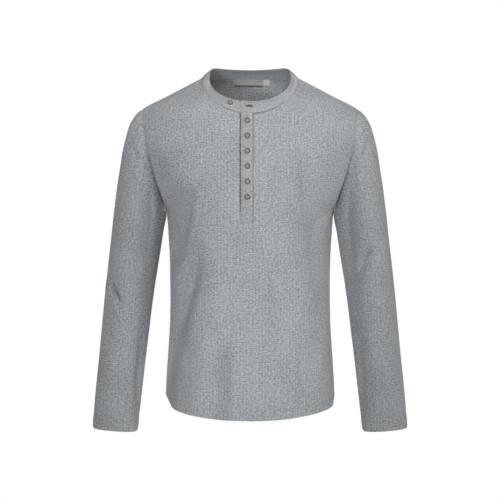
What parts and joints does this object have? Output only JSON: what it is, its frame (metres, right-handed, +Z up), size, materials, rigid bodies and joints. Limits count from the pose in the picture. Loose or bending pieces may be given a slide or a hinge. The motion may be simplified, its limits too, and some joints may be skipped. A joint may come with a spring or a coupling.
{
  "type": "henley shirt",
  "caption": "Long-sleeved knitted henley shirt with a banded round neck and a buttoned half placket, hollow and open at neck, hem and sleeve ends, posed as worn.",
  "frame": {"origin": "midway between the two neck points, 11 mm below them, where the wearer's neck and shoulders carry the shirt", "axes": "+Z up, +X towards the wearer's left, the front faces -Y"},
  "size_m": [0.6348, 0.2644, 0.7296],
  "materials": {
    "knit": "light heather-grey waffle knit, matt with a soft nap",
    "band_knit": "the same knit, doubled and pressed flat, matt",
    "button": "mauve-grey resin, low sheen",
    "label": "woven tape, smooth, bare",
    "tab": "white woven tape, smooth, bare"
  },
  "bodies": {
    "root": {"front_panel": "knit", "back_panel": "knit", "sleeve_left": "knit", "sleeve_right": "knit", "neckband": "band_knit", "placket_overlap": "band_knit", "placket_underlap": "band_knit", "button_neck": "button", "button_1": "button", "button_2": "button", "button_3": "button", "button_4": "button", "button_5": "button", "button_6": "button", "neck_label": "label", "size_tab": "tab"}
  },
  "joints": []
}
